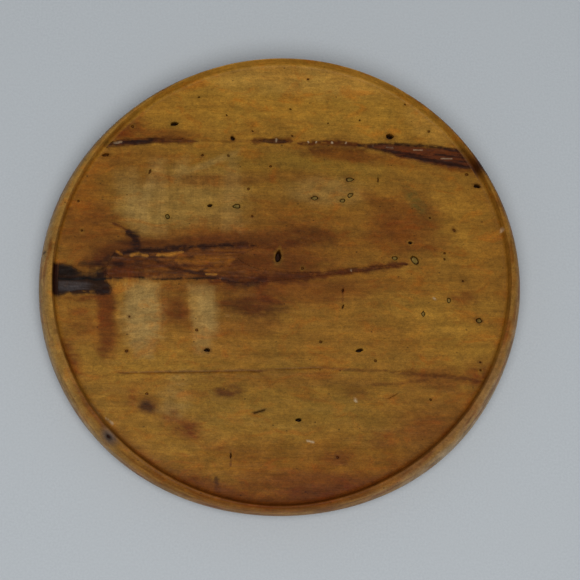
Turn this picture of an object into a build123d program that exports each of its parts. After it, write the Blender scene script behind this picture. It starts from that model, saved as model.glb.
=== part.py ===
"""Offering plate: one turned disc of wood with a recessed floor, and the natural inclusions
(dead knot, branch spike, bark pocket, bark seams, pin knot, packed beetle holes) that sit in it.

Millimetres, +Z up, X along the grain. The origin is at the centre of the base, on the surface
that the plate stands on.
"""
from build123d import *
import math
import os

# ---- driving dimensions -------------------------------------------------------------------
PLATE_LENGTH = 240.4        # long axis of the oval outline
PLATE_WIDTH = 230.6         # short axis: the disc has shrunk across the grain
PLATE_HEIGHT = 20.0
OVAL_TURN = 10.0            # degrees from the grain to the long axis
FLOOR_HEIGHT = 15.0         # top of the recessed floor above the table
BULGE_HEIGHT = 8.5          # height of the widest line of the edge

RIM_LEAN_LONG = 5.7         # how far the edge leans in from the widest line to the crest
RIM_LEAN_SHORT = 2.6
RIM_SHIFT = (0.5, 1.7)      # the recess was turned slightly off the centre of the outline
CREST_WIDTH = 0.5           # rounded crest between the recess and the leaning edge
WELL_TAPER = 0.9            # how much smaller the recess is at the floor than at the crest
WELL_CORNER = 1.6           # radius of the hollow corner round the floor

UNDERCUT_HEIGHT = 2.0       # where the rounded edge meets the foot
UNDERCUT_REACH = 15.0       # how far the rounded edge tucks in below the widest line
FOOT_LENGTH = 200.0
FOOT_WIDTH = 191.0
BASE_HOLLOW_DEPTH = 1.4     # shallow hollow under the plate, so that it does not rock
BASE_HOLLOW_RADIUS = 78.0
BASE_HOLLOW_TAPER = 3.0

INCLUSION_DEPTH = 4.0
PLUG_DEPTH = 3.0
HOLE_DEPTH = 5.0
WALL_CLEARANCE = 0.4        # inclusions in the floor stop this far inside the hollow corner
EPS = 0.01

EDGE_STEPS = 14             # levels of the rounded edge, from its foot to its crest
CREST_ANGLE = 84.0          # where the rounded edge ends, in degrees above its widest line

# ---- outlines of the inclusions, seen from above, to the nearest millimetre -----------------
# The knot runs in from the rim, is pinched in the middle and flares where the spike starts.
BLACK_KNOT = [
    (-114, 8), (-108, 8), (-104, 7), (-98, 4), (-93, 4), (-86, 7), (-87, 1),
    (-84, -4), (-85, -7), (-90, -7), (-94, -5), (-100, -5), (-107, -7), (-114, -8),
]
# The branch's heartwood: wide beside the knot, forked, with a long thin tail.
BRANCH_SPIKE = [
    (-85, 2), (-84, 12), (-78, 16), (-62, 16), (-40, 18), (-12, 19), (-22, 13), (-10, 7), (15, 6),
    (40, 9), (63, 11), (40, 7), (15, 4), (-5, 1), (-20, 0), (-35, 2), (-60, 1),
]
# A lens of bark that widens until the rim cuts it off.
BARK_POCKET = [
    (38, 72), (50, 73), (70, 72), (90, 71), (97, 68), (106, 62), (90, 61), (80, 62), (70, 64),
    (60, 66), (48, 70),
]
LEFT_SEAM = [(-90, 68), (-80, 72), (-62, 73), (-42, 72), (-62, 71), (-78, 69)]
SHORT_SEAM = [(-12, 73), (-5, 74), (3, 73), (-4, 72)]

# Pin knot on the edge: x, y and half sizes along and across the edge.
PIN_KNOT = (-84, -78, 2, 1.2)
PIN_KNOT_DEPTH = 4.0

# Packed beetle holes in the floor: x, y, radius.
PACKED_HOLES = [
    (-23, 39, 1.4), (-57, 33, 1.2), (34, 54, 1.4), (34, 46, 1.3), (30, 43, 1.2), (16, 44, 1.3),
    (66, 13, 1.8), (56, 14, 1.1), (98, -17, 1.3), (83, -7, 1.1), (70, -14, 1.2),
]
# The larger open beetle holes in the floor: x, y, radius.
OPEN_HOLES = [
    (54, 77, 1.8), (-54, 81, 1.4), (38, -33, 1.3), (-37, -34, 1.2), (8, -68, 1.1),
    (-2, 14, 1.7), (98, 52, 1.3), (-36, 39, 1.0), (-25, 74, 1.0), (64, 22, 0.9),
]


def oval(z, half_long, half_short, shift=(0.0, 0.0)):
    """An ellipse at height z, turned to the plate's long axis."""
    return Pos(shift[0], shift[1], z) * Rot(0, 0, OVAL_TURN) * Ellipse(half_long, half_short)


def edge_section(angle):
    """One level of the rounded edge, given by the angle of its cross-section."""
    lean = 1 - math.cos(math.radians(angle))
    rise = math.sin(math.radians(angle))
    if angle < 0:
        z = BULGE_HEIGHT + (BULGE_HEIGHT - UNDERCUT_HEIGHT) * rise
        half_long = PLATE_LENGTH / 2 - UNDERCUT_REACH * lean
        half_short = PLATE_WIDTH / 2 - UNDERCUT_REACH * lean
        return oval(z, half_long, half_short)
    crest_rise = math.sin(math.radians(CREST_ANGLE))
    z = BULGE_HEIGHT + (PLATE_HEIGHT - BULGE_HEIGHT) * rise / crest_rise
    half_long = PLATE_LENGTH / 2 - RIM_LEAN_LONG * lean
    half_short = PLATE_WIDTH / 2 - RIM_LEAN_SHORT * lean
    return oval(z, half_long, half_short, (RIM_SHIFT[0] * lean, RIM_SHIFT[1] * lean))


def well_half_sizes():
    """Half sizes of the recess at the crest of the rim."""
    inset = CREST_WIDTH
    half_long = PLATE_LENGTH / 2 - RIM_LEAN_LONG - inset
    half_short = PLATE_WIDTH / 2 - RIM_LEAN_SHORT - inset
    return half_long, half_short


def make_well():
    """The recess above the floor, with its hollow corner."""
    half_long, half_short = well_half_sizes()
    top = PLATE_HEIGHT + EPS
    well = loft([
        oval(FLOOR_HEIGHT, half_long - WELL_TAPER, half_short - WELL_TAPER, RIM_SHIFT),
        oval(top, half_long, half_short, RIM_SHIFT),
    ])
    floor_edge = well.edges().sort_by(Axis.Z)[0]
    return fillet(floor_edge, WELL_CORNER)


def make_blank():
    """The turned disc before the recess and the pockets."""
    sweep = (CREST_ANGLE + 90) / EDGE_STEPS
    edge = loft([edge_section(sweep * step - 90) for step in range(EDGE_STEPS + 1)], ruled=True)
    foot = extrude(oval(0, FOOT_LENGTH / 2, FOOT_WIDTH / 2), UNDERCUT_HEIGHT + 1)
    hollow = Pos(0, 0, BASE_HOLLOW_DEPTH / 2) * Cone(
        BASE_HOLLOW_RADIUS, BASE_HOLLOW_RADIUS - BASE_HOLLOW_TAPER, BASE_HOLLOW_DEPTH
    )
    return edge + foot - hollow


def floor_prism(points, depth=INCLUSION_DEPTH):
    """An outline sunk into the floor and kept clear of the rim."""
    outline = make_face(Polyline(points, close=True))
    prism = Pos(0, 0, FLOOR_HEIGHT - depth) * extrude(outline, depth)
    half_long, half_short = well_half_sizes()
    reach = WELL_TAPER + WELL_CORNER + WALL_CLEARANCE
    limit = extrude(oval(0, half_long - reach, half_short - reach, RIM_SHIFT), PLATE_HEIGHT)
    return prism & limit


def floor_peg(x, y, radius, depth):
    """A round peg of floor material, used for the packed holes and to drill the open ones."""
    return Pos(x, y, FLOOR_HEIGHT - depth / 2) * Cylinder(radius, depth)


def make_pin_knot(blank):
    """The small dead knot in the rounded edge, trimmed to the edge's surface."""
    x, y, half_along, half_across = PIN_KNOT
    along_edge = math.degrees(math.atan2(y, x)) + 90
    section = Pos(x, y, FLOOR_HEIGHT - PIN_KNOT_DEPTH) * Rot(0, 0, along_edge) * Ellipse(
        half_along, half_across
    )
    return extrude(section, PLATE_HEIGHT) & blank


blank = make_blank() - make_well()

black_knot = floor_prism(BLACK_KNOT)
branch_spike = floor_prism(BRANCH_SPIKE) - black_knot
bark_pocket = floor_prism(BARK_POCKET)
bark_seams = [floor_prism(LEFT_SEAM), floor_prism(SHORT_SEAM)]
pin_knot = make_pin_knot(blank)
packed_holes = [floor_peg(x, y, radius, PLUG_DEPTH) for x, y, radius in PACKED_HOLES]

plate_body = blank - black_knot - branch_spike - bark_pocket - pin_knot
for seam in bark_seams:
    plate_body -= seam
for plug in packed_holes:
    plate_body -= plug
for x, y, radius in OPEN_HOLES:
    plate_body -= floor_peg(x, y, radius, HOLE_DEPTH)

nodes = {
    "plate_body": plate_body,
    "black_knot": black_knot,
    "branch_spike": branch_spike,
    "bark_pocket": bark_pocket,
    "bark_seams": Compound(children=bark_seams),
    "pin_knot": pin_knot,
    "hole_plugs": Compound(children=packed_holes),
}

os.makedirs("parts", exist_ok=True)
for name, shape in nodes.items():
    export_step(shape, f"parts/{name}.step")
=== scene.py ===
"""Visual model of the offering plate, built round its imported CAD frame.

Shapes are worked out in millimetres and turned into metres when a mesh is made. +X runs along the
grain, +Z points up out of the plate, and the origin is at the centre of the foot.
"""
import math
import bpy
import numpy as np
from mathutils import Matrix, Vector
from mathutils.geometry import delaunay_2d_cdt


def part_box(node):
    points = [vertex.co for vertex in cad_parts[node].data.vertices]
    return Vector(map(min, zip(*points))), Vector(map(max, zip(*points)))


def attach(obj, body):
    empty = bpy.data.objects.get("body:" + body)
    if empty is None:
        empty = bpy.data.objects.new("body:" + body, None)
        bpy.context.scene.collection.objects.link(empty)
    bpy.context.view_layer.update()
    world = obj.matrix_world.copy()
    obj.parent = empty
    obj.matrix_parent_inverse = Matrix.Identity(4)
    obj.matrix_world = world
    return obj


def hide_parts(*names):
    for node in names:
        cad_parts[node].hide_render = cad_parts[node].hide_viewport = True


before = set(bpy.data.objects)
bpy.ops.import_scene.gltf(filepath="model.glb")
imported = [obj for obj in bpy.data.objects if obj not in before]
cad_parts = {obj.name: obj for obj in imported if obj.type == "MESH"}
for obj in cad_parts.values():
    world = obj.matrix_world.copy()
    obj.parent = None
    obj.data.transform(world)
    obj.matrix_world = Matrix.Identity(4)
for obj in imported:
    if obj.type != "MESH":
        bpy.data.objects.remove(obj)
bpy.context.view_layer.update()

MM = 0.001

# ==== sizes, from the frame ====
_, body_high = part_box("plate_body")
_, knot_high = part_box("black_knot")
HEIGHT = body_high.z / MM
HALF_X = body_high.x / MM
HALF_Y = body_high.y / MM
FLOOR = knot_high.z / MM  # top of the recessed floor

OVAL_TURN = math.radians(10.0)  # from the grain to the long axis of the outline
EDGE_LONG = HALF_X - 0.3  # half axes of the widest line
EDGE_SHORT = HALF_Y - 0.35
# Uneven places in the outline: angle, spread and how far out (+) or in (-). Angles round the plate
# are in degrees, anticlockwise from +X.
SWELLS = ((225, 20, 0.5), (270, 25, -1.0), (310, 15, 0.25), (340, 15, -0.5))
BULGE = 8.5  # height of the widest line
WELL_CENTRE = (0.3, 2.4)
WELL_LONG = HALF_X - 6.5  # half axes of the recess at the crest of the rim
WELL_SHORT = HALF_Y - 3.6
TAPER = 0.9  # how much the recess narrows down to the floor
CORNER = 1.6  # radius of the hollow corner
CREST_LIP = 0.5  # radius that rounds the wall of the recess over to the crest
TUCK = 15.0  # how far the edge tucks in under the widest line
TUCK_HEIGHT = 2.0
FOOT_LONG = 100.0
FOOT_SHORT = 95.5
HOLLOW_RADIUS = 78.0  # shallow hollow under the plate
HOLLOW_DEPTH = 1.4
HOLLOW_SLOPE = 3  # width of the hollow's sloping wall

RIM_STEPS = 720  # points round every ring of the rim and edge
RING_ANGLES = np.linspace(0, 2 * math.pi, RIM_STEPS, endpoint=False)
FLOOR_REACH = 114  # far enough to cover the floor
FINE = 0.6  # spacing of the finest points on the floor and the inlays
SKIN = 0.12  # how far the floor's skin lies under the CAD's floor


# ==== repeatable noise ====
def lattice(ix, iy, seed):
    """A repeatable number from -1 to 1 for each lattice point."""
    n = (ix * 374761393 + iy * 668265263 + seed * 1442695041) & 0x7FFFFFFF
    n = ((n ^ (n >> 13)) * 1274126177) & 0x7FFFFFFF
    return ((n ^ (n >> 16)) & 0xFFFF) / 32767.5 - 1.0


def noise(x, y, seed):
    """Smooth value noise from -1 to 1, with features one unit across."""
    x, y = np.broadcast_arrays(np.asarray(x, float), np.asarray(y, float))
    ix, iy = np.floor(x).astype(np.int64), np.floor(y).astype(np.int64)
    fx, fy = x - ix, y - iy
    fx, fy = fx * fx * (3 - 2 * fx), fy * fy * (3 - 2 * fy)
    low = lattice(ix, iy, seed) * (1 - fx) + lattice(ix + 1, iy, seed) * fx
    high = lattice(ix, iy + 1, seed) * (1 - fx) + lattice(ix + 1, iy + 1, seed) * fx
    return low * (1 - fy) + high * fy


def fractal(x, y, seed, octaves=4):
    """Layers of noise, each twice as fine and half as strong."""
    total, weight = 0.0, 0.0
    for k in range(octaves):
        total = total + noise(x * 2**k, y * 2**k, seed + 17 * k) / 2**k
        weight += 1 / 2**k
    return total / weight


def step(low, high, value):
    """Smooth step from 0 at low to 1 at high."""
    t = np.clip((value - low) / (high - low), 0, 1)
    return t * t * (3 - 2 * t)


def hump(value, width, power=2):
    """1 at 0, falling smoothly to 0 on both sides."""
    return np.exp(-((value / width) ** power))


# ==== outlines ====
def oval_radius(angle, half_long, half_short, turn=OVAL_TURN):
    a = angle - turn
    return half_long * half_short / np.hypot(half_short * np.cos(a), half_long * np.sin(a))


def edge_radius(angle):
    """The widest line: an oval with a few flats and swells left by hand turning and drying."""
    radius = oval_radius(angle, EDGE_LONG, EDGE_SHORT)
    for middle, spread, height in SWELLS:
        radius = radius + height * near_angle(angle, middle, spread)
    return radius


def near_angle(angle, middle, spread):
    """1 at an angle in degrees, falling to 0 on both sides."""
    return hump((np.degrees(angle) - middle + 180) % 360 - 180, spread)


def floor_radius(angle):
    """The edge of the recessed floor, seen from the centre of the recess."""
    oval = oval_radius(angle, WELL_LONG, WELL_SHORT) + 0.9 * np.cos(2 * angle - 1.75)
    return oval + 0.9 * near_angle(angle, 268, 24) - TAPER - CORNER


def unit_circle(angle):
    return np.stack([np.cos(angle), np.sin(angle)], 1)


def crest_points(angle):
    """The crest of the rim, seen from the centre of the recess."""
    return from_well(floor_radius(angle) + CORNER + TAPER + CREST_LIP, angle)


def from_well(reach, angle):
    """Points at some distance and angle from the centre of the recess."""
    return np.array(WELL_CENTRE) + unit_circle(angle) * reach[:, None]


def well_polar(x, y):
    """Distance and angle from the centre of the recess."""
    dx, dy = x - WELL_CENTRE[0], y - WELL_CENTRE[1]
    return np.hypot(dx, dy), np.arctan2(dy, dx)


def smooth_loop(points, spacing, roughness=0.0, seed=0):
    """A closed smooth curve through a few points, evenly sampled, with a natural ragged edge."""
    pts = np.array(points, float)
    samples = []
    for k in range(len(pts)):
        p0, p1, p2, p3 = (pts[(k + j - 1) % len(pts)] for j in range(4))
        for t in np.linspace(0, 1, 24, endpoint=False):
            samples.append(0.5 * (2 * p1 + (p2 - p0) * t + (2 * p0 - 5 * p1 + 4 * p2 - p3) * t**2
                                  + (3 * p1 - p0 - 3 * p2 + p3) * t**3))
    curve = np.array(samples + samples[:1])
    travel = np.concatenate([[0], np.cumsum(np.hypot(*np.diff(curve, axis=0).T))])
    count = int(travel[-1] / spacing)
    at = np.linspace(0, travel[-1], count, endpoint=False)
    loop = np.stack([np.interp(at, travel, curve[:, k]) for k in (0, 1)], 1)
    return grow(loop, roughness * fractal(at * 0.6, 0.3, seed, 3))


def runs_left(loop):
    """Whether a closed loop runs anticlockwise."""
    x, y = loop.T
    return np.sum(x * np.roll(y, -1) - y * np.roll(x, -1)) > 0


def loop_normals(loop):
    """Outward unit normals of a closed loop that runs either way round."""
    along = np.roll(loop, -1, 0) - np.roll(loop, 1, 0)
    out = np.stack([along[:, 1], -along[:, 0]], 1) * (1 if runs_left(loop) else -1)
    return out / np.maximum(np.hypot(*out.T), 1e-9)[:, None]


def grow(loop, distance):
    return loop + loop_normals(loop) * np.broadcast_to(distance, len(loop))[:, None]


def inside(loop, x, y):
    """Which points lie inside a closed loop."""
    hit = np.zeros(len(x), bool)
    for (x0, y0), (x1, y1) in zip(loop, np.roll(loop, -1, 0)):
        crosses = (y0 > y) != (y1 > y)
        hit ^= crosses & (x < (x1 - x0) * (y - y0) / (y1 - y0 + 1e-12) + x0)
    return hit


def box_near(x, y, points, margin):
    """Which points lie in the box round a line or outline, widened by a margin."""
    low, high = points.min(0) - margin, points.max(0) + margin
    return (x > low[0]) & (x < high[0]) & (y > low[1]) & (y < high[1])


def turned(dx, dy, turn):
    """Offsets along and across an axis that is turned by some degrees."""
    a = math.radians(turn)
    return dx * math.cos(a) + dy * math.sin(a), dy * math.cos(a) - dx * math.sin(a)


def polyline_distance(x, y, points):
    """Distance to a polyline, and how far along it (0 to 1) the nearest point lies."""
    pts = np.array(points, float)
    best, place = np.full(len(x), 1e9), np.zeros(len(x))
    for k in range(len(pts) - 1):
        (x0, y0), (x1, y1) = pts[k], pts[k + 1]
        length = (x1 - x0) ** 2 + (y1 - y0) ** 2
        t = np.clip(((x - x0) * (x1 - x0) + (y - y0) * (y1 - y0)) / length, 0, 1)
        d = np.hypot(x - x0 - t * (x1 - x0), y - y0 - t * (y1 - y0))
        closer = d < best
        best = np.where(closer, d, best)
        place = np.where(closer, (k + t) / (len(pts) - 1), place)
    return best, place


# ==== what is in the wood ====
# Outlines of the inclusions, seen from above, to the nearest millimetre, as they are in the CAD.
KNOT_LOOP = [
    (-114, 8), (-108, 8), (-104, 7), (-98, 4), (-93, 4), (-86, 7), (-87, 1),
    (-84, -4), (-85, -7), (-90, -7), (-94, -5), (-100, -5), (-107, -7), (-114, -8),
]
SPIKE_LOOP = [
    (-85, 2), (-84, 12), (-78, 16), (-62, 16), (-40, 18), (-12, 19), (-22, 13), (-10, 7), (15, 6),
    (40, 9), (63, 11), (40, 7), (15, 4), (-5, 1), (-20, 0), (-35, 2), (-60, 1),
]
BARK_LOOP = [
    (38, 72), (50, 73), (70, 72), (90, 71), (97, 68), (106, 62), (90, 61), (80, 62), (70, 64),
    (60, 66), (48, 70),
]
LEFT_SEAM_LOOP = [(-90, 68), (-80, 72), (-62, 73), (-42, 72), (-62, 71), (-78, 69)]
SHORT_SEAM_LOOP = [(-12, 73), (-5, 74), (3, 73), (-4, 72)]
PIN_KNOT = (-84, -78)

# Open beetle holes in the floor: x, y, half length, half width, turn in degrees, depth.
BEETLE_HOLES = [
    (54, 77, 2.1, 1.4, 0, 5), (-54, 81, 2.0, 1.1, 5, 4), (38, -33, 1.7, 1.0, 10, 4),
    (-37, -34, 1.5, 0.9, 0, 4), (8, -68, 1.4, 0.8, 15, 4), (-2, 14, 2.8, 1.3, 80, 4.5),
    (98, 52, 1.6, 1.0, -15, 4), (-36, 39, 1.3, 0.8, 10, 3), (64, 22, 1.0, 0.8, 0, 3),
    (-25, 74, 1.2, 1.1, -40, 2.5),
]
# Dents and slots worn across the grain: x, y, half length, half width, turn in degrees, depth.
SLOTS = [
    (-25, -86, 1.4, 0.5, 90, 1.8), (48, 54, 1.3, 0.4, 90, 1.0), (30, -3, 1.0, 0.5, 75, 1.5),
    (30, -11, 1.1, 0.4, 70, 1.5), (-66, 56, 1.2, 0.6, 70, 1.5), (-88, 64, 1.7, 0.9, 5, 2.0),
]
# Pinholes left by the smallest beetles: x, y.
PINHOLES = [
    (-42, 95), (-28, 86), (-15, 78), (-75, 79), (-27, 65), (-40, 65), (-6, 60), (-17, 48),
    (-15, 34), (-101, 40), (-99, 25), (13, 106), (4, 90), (23, 83), (5, 76), (39, 85), (62, 94),
    (73, 89), (74, 80), (74, 35), (86, 29), (81, 17), (81, 14), (90, 3), (10, 8), (93, 58),
    (-76, -35), (-42, -24), (-66, -56), (98, -38), (98, -42), (73, -57), (27, -86), (19, -29),
    (46, -38), (-75, -18),
]
PIN_RADIUS = 0.7
PIN_DEPTH = 1.0
RAGGED = 0.26  # how uneven the outline of a hole is

# Holes packed with dust and wax: x, y, half length, half width, turn in degrees.
PACKED_HOLES = [
    (-23, 39, 1.9, 1.1, 0), (-57, 33, 1.3, 1.1, 0), (34, 54, 1.9, 1.0, 5), (34, 46, 1.6, 1.2, 30),
    (30, 43, 1.4, 1.1, 0), (16, 44, 1.6, 1.1, 0), (66, 13, 1.5, 2.2, 30), (56, 14, 1.3, 0.9, 0),
    (98, -17, 1.5, 1.1, -10), (83, -7, 0.9, 1.3, 0), (70, -14, 0.9, 1.5, 0),
]

# Cracks and scratches: points, half width, depth.
CRACKS = [
    ([(-14, -65), (-8, -63)], 0.32, 0.5),
    ([(52, -57), (57, -54)], 0.25, 0.35),
    ([(-78, -46), (-45, -45), (-10, -44)], 0.24, 0.15),
    ([(-4, -43), (20, -42)], 0.20, 0.12),
]


# ==== repeatable scatter ====
def pinhole(x, y, k):
    """A pinhole whose size and turn follow its number."""
    long = PIN_RADIUS * (1 + 0.25 * float(lattice(k, 1, 301)))
    wide = long * (0.85 + 0.12 * float(lattice(k, 2, 301)))
    return (x, y, long, wide, 60 * float(lattice(k, 3, 301)), PIN_DEPTH)


OPEN_HOLES = BEETLE_HOLES + SLOTS + [pinhole(x, y, k) for k, (x, y) in enumerate(PINHOLES)]


# ==== the painter ====
LIGHT = 0.745  # how bright a white sheet looks in this scene's light
SHEEN = 0.006  # the light that the waxed surface adds to every colour

# The colours of the wood, as they look in the scene's light.
SHADES = {
    "straw": (160, 120, 55),
    "gold": (145, 105, 40),
    "honey": (130, 90, 35),
    "olive": (120, 90, 35),
    "tan": (145, 115, 65),
    "brown": (115, 75, 30),
    "amber": (115, 70, 15),
    "red": (105, 60, 25),
    "rust": (95, 50, 20),
    "maroon": (80, 40, 25),
    "ochre": (185, 125, 45),
    "orange": (145, 90, 30),
    "umber": (75, 40, 20),
    "soot": (40, 25, 20),
    "black": (10, 10, 5),
    "smoke": (90, 75, 35),
    "slate": (70, 65, 65),
    "ash": (150, 135, 110),
    "wax": (180, 160, 130),
}


def wood(name):
    """Surface colour that shows as this shade in the scene's light."""
    c = np.array(SHADES[name]) / 255
    linear = np.where(c < 0.04045, c / 12.92, ((c + 0.055) / 1.055) ** 2.4)
    return np.maximum(linear - SHEEN, 0.2 * linear) / LIGHT


# Broad zones and soft stains: x, y, half length, half width, turn in degrees, shade, strength.
PATCHES = [
    (0, 98, 100, 26, 0, "gold", 1.0),
    (-60, 84, 44, 14, 8, "gold", 0.7),
    (60, 88, 45, 17, -8, "gold", 0.9),
    (14, 106, 70, 10, 0, "straw", 0.7),
    (74, 82, 16, 8, -45, "straw", 0.5),
    (-90, -60, 14, 12, -50, "gold", 0.6),
    (92, -62, 10, 14, 40, "honey", 0.6),
    (0, 60, 60, 12, 0, "olive", 0.7),
    (-50, 42, 44, 24, 0, "olive", 0.8),
    (-95, 25, 20, 28, 0, "red", 0.65),
    (-72, 60, 14, 8, 0, "red", 0.3),
    (0, 20, 60, 26, 0, "brown", 0.9),
    (-25, 10, 60, 12, 0, "red", 0.9),
    (90, 0, 32, 55, 0, "honey", 0.8),
    (78, -30, 38, 22, 0, "honey", 0.9),
    (-55, -22, 42, 20, 0, "honey", 0.9),
    (0, -60, 70, 26, 0, "olive", 0.6),
    (-78, -60, 30, 26, -30, "honey", 0.6),
    (-72, -40, 34, 11, 0, "gold", 0.7),
    (88, -30, 26, 28, 0, "gold", 0.6),
    (70, -12, 24, 10, 0, "gold", 0.5),
    (88, 36, 18, 20, 0, "gold", 0.5),
    (-100, 44, 10, 14, 0, "orange", 0.5),
    (0, -92, 30, 6, 0, "honey", 0.5),
    (-40, -88, 24, 8, -15, "gold", 0.5),
    (-70, -72, 26, 8, -35, "gold", 0.4),
    (0, -75, 40, 14, 0, "gold", 0.25),
    (80, -70, 34, 24, 40, "brown", 0.8),
    # The three rows below make the floor darker towards the bottom edge.
    (10, -90, 70, 16, 0, "amber", 0.6),
    (10, -107, 85, 9, 0, "amber", 1.0),
    (20, -98, 50, 7, 0, "red", 0.6),
    (62, 30, 24, 20, 0, "red", 0.75),
    (66, 45, 11, 4, -58, "smoke", 0.8),
    (-48, 42, 34, 20, 0, "tan", 0.35),
    (-70, 62, 24, 6, 0, "brown", 0.6),
    (-40, 22, 50, 7, 0, "red", 0.6),
    (-72, 36, 6, 18, 6, "tan", 0.5),
    (-100, 32, 12, 14, 0, "rust", 0.2),
    (-80, 77, 16, 6, 12, "red", 0.8),
    (-62, 75, 24, 4, 0, "red", 0.7),
    (-62, 52, 26, 5, 0, "brown", 0.5),
    (-30, 52, 26, 4, 0, "red", 0.5),
    (36, 66, 34, 4, -5, "rust", 0.75),
    (88, 61, 14, 3, -10, "rust", 0.7),
    (5, 55, 30, 4, 0, "red", 0.5),
    (22, 48, 22, 8, 0, "tan", 0.35),
    (14, 26, 18, 6, -12, "umber", 0.7),
    (2, 21, 14, 7, 0, "umber", 0.6),
    (-20, 23, 26, 4, 0, "umber", 0.6),
    (-8, -13, 12, 8, 0, "umber", 0.6),
    (-16, -9, 22, 8, 0, "umber", 0.55),
    (12, -4, 30, 8, 0, "red", 0.7),
    (40, 0, 24, 6, 5, "red", 0.4),
    (-25, -22, 30, 6, 0, "red", 0.5),
    (-87, -14, 5, 9, 0, "rust", 0.8),
    (-88, -29, 9, 8, 0, "orange", 0.4),
    (-87, -34, 5, 5, 0, "rust", 0.8),
    (-104, -42, 4, 9, 20, "rust", 0.7),
    (-52, -14, 8, 6, 0, "red", 0.8),
    (-68, -16, 11, 20, 0, "tan", 1.0),
    (-37, -16, 6, 16, 8, "tan", 0.8),
    (-47, -73, 9, 5, -25, "rust", 1.0),
    (-52, -70, 12, 6, -30, "red", 0.5),
    (-54, -66, 5, 4, -30, "rust", 0.7),
    (-73, -58, 3, 5, 0, "red", 0.8),
    (-65, -62, 6, 5, -30, "umber", 0.6),
    (-27, -55, 8, 4, 10, "umber", 0.6),
    (-52, -58, 8, 12, -20, "tan", 0.4),
    (22, -34, 24, 6, 0, "honey", 0.7),
    (10, -48, 50, 5, 0, "brown", 0.6),
    (35, -54, 10, 3, 0, "umber", 0.45),
    (90, -6, 9, 6, 0, "red", 0.7),
    (98, -44, 9, 8, 0, "red", 0.8),
    (78, -46, 20, 6, 0, "red", 0.6),
    (72, -70, 16, 8, 30, "red", 0.5),
    (28, -86, 9, 5, 0, "rust", 0.55),
    (48, -78, 8, 6, 0, "red", 0.6),
    (25, -103, 30, 5, 8, "umber", 0.8),
    (-35, -100, 20, 4, -18, "rust", 0.7),
    (-92, -66, 7, 3, -50, "ash", 0.4),
    (-96, -9, 14, 2, 0, "rust", 0.8),
    (-76, 17, 20, 5, 4, "umber", 0.8),
    (-48, 20, 30, 3, 3, "umber", 0.6),
    (-35, -2, 34, 4, 0, "rust", 0.5),
    (-10, 8, 30, 12, 0, "umber", 0.4),
    (-90, 10, 12, 5, 12, "umber", 0.9),
    (-94, 4, 10, 4, 0, "soot", 0.5),
    (-84, 30, 14, 8, 0, "umber", 0.25),
    (-84, 76, 14, 4, 12, "rust", 0.7),
    (-86, -22, 6, 20, 4, "rust", 0.8),
    (-98, -20, 8, 12, 0, "red", 0.6),
    (-104, -38, 5, 12, 15, "rust", 0.7),
    (-52, -14, 7, 7, 0, "rust", 0.6),
    (-14, -10, 12, 6, 0, "umber", 0.9),
    (-24, -12, 12, 5, 0, "umber", 0.6),
    (-66, -62, 4, 4, -30, "soot", 0.7),
    (-26, -54, 8, 3, 10, "umber", 0.7),
    (14, -98, 30, 4, 4, "rust", 0.5),
    (-50, 58, 9, 4, 60, "tan", 0.4),
    (-38, 60, 18, 2, 25, "tan", 0.5),
    (-66, 48, 3, 14, -20, "tan", 0.5),
    (-84, 11, 8, 4, 20, "soot", 0.6),
    (-74, 20, 6, 7, 20, "umber", 0.7),
]

# Scraped bands and stains with a clearer outline: outline, softness of the edge, shade, strength.
BANDS = [
    ([(-78, -1), (-60, -1), (-63, -38), (-73, -38)], 1.6, "tan", 0.55),
    ([(-47, -1), (-33, -2), (-36, -36), (-43, -36)], 1.6, "tan", 0.5),
    ([(-60, -2), (-47, -2), (-46, -22), (-60, -22)], 2.0, "rust", 0.35),
    ([(-71, 24), (-57, 23), (-58, 62), (-66, 62)], 2.0, "tan", 0.3),
    ([(-82, 34), (-74, 26), (-72, 58), (-84, 56)], 2.5, "tan", 0.25),
    ([(-30, 26), (-20, 26), (-22, 66), (-28, 66)], 2.0, "tan", 0.25),
    ([(40, 50), (52, 42), (66, 24), (58, 22), (44, 34)], 3.0, "rust", 0.4),
    ([(-96, 60), (-80, 64), (-84, 44), (-98, 44)], 3.0, "red", 0.2),
    ([(-91, -6), (-83, -6), (-84, -24), (-90, -24)], 1.4, "rust", 0.5),
]

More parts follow.
